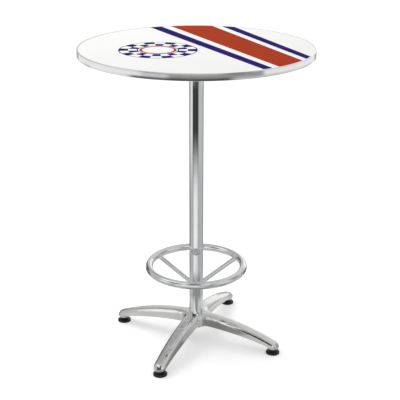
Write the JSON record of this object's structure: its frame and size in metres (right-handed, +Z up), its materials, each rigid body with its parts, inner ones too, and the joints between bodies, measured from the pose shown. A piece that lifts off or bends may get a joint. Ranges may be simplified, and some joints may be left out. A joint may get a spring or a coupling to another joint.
{
  "type": "pub table",
  "caption": "Tall round pub table with a striped top in a metal edge band, on a chromed column with a foot ring and a polished arm base on screw levellers.",
  "frame": {"origin": "on the floor, below the middle of the column", "axes": "+Z up along the column, the four arms of the base along X and Y"},
  "size_m": [0.762, 0.762, 1.041],
  "materials": {
    "print": "gloss laminate",
    "board": "raw particle board",
    "backing": "matt laminate",
    "band": "polished",
    "bracket": "satin black",
    "hardware": "zinc plated",
    "chrome": "bright chrome",
    "casting": "mirror polished",
    "pad": "moulded black"
  },
  "bodies": {
    "table": {"top_print_sheet": "print", "top_core": "board", "balance_sheet": "backing", "edge_band": "band", "top_bracket": "bracket", "bracket_screws": "hardware", "column_tube": "chrome", "tie_rod": "hardware", "tie_washer": "hardware", "tie_spring_washer": "hardware", "tie_nut": "hardware", "foot_ring": "chrome", "ring_spoke_1": "chrome", "ring_spoke_2": "chrome", "ring_spoke_3": "chrome", "base_casting": "casting"},
    "pad_right": {"leveller_pad_right": "pad"},
    "stem_right": {"leveller_stem_right": "hardware"},
    "pad_back": {"leveller_pad_back": "pad"},
    "stem_back": {"leveller_stem_back": "hardware"},
    "pad_left": {"leveller_pad_left": "pad"},
    "stem_left": {"leveller_stem_left": "hardware"},
    "pad_front": {"leveller_pad_front": "pad"},
    "stem_front": {"leveller_stem_front": "hardware"}
  },
  "joints": [
    {"name": "leveller_travel_right", "type": "slide", "parent": "table", "child": "pad_right", "axis": [0, 0, -1], "range_m": [0, 0.012]},
    {"name": "leveller_turn_right", "type": "hinge", "parent": "pad_right", "child": "stem_right", "pos_m": [0.29, 0, 0.0085], "axis": [0, 0, -1], "range_deg": [0, 3456]},
    {"name": "leveller_travel_back", "type": "slide", "parent": "table", "child": "pad_back", "axis": [0, 0, -1], "range_m": [0, 0.012]},
    {"name": "leveller_turn_back", "type": "hinge", "parent": "pad_back", "child": "stem_back", "pos_m": [0, 0.29, 0.0085], "axis": [0, 0, -1], "range_deg": [0, 3456]},
    {"name": "leveller_travel_left", "type": "slide", "parent": "table", "child": "pad_left", "axis": [0, 0, -1], "range_m": [0, 0.012]},
    {"name": "leveller_turn_left", "type": "hinge", "parent": "pad_left", "child": "stem_left", "pos_m": [-0.29, 0, 0.0085], "axis": [0, 0, -1], "range_deg": [0, 3456]},
    {"name": "leveller_travel_front", "type": "slide", "parent": "table", "child": "pad_front", "axis": [0, 0, -1], "range_m": [0, 0.012]},
    {"name": "leveller_turn_front", "type": "hinge", "parent": "pad_front", "child": "stem_front", "pos_m": [0, -0.29, 0.0085], "axis": [0, 0, -1], "range_deg": [0, 3456]}
  ],
  "couplings": [
    {"joint": "leveller_travel_right", "follows": "leveller_turn_right", "m_per_rad": 0.00019894},
    {"joint": "leveller_travel_back", "follows": "leveller_turn_back", "m_per_rad": 0.00019894},
    {"joint": "leveller_travel_left", "follows": "leveller_turn_left", "m_per_rad": 0.00019894},
    {"joint": "leveller_travel_front", "follows": "leveller_turn_front", "m_per_rad": 0.00019894}
  ]
}
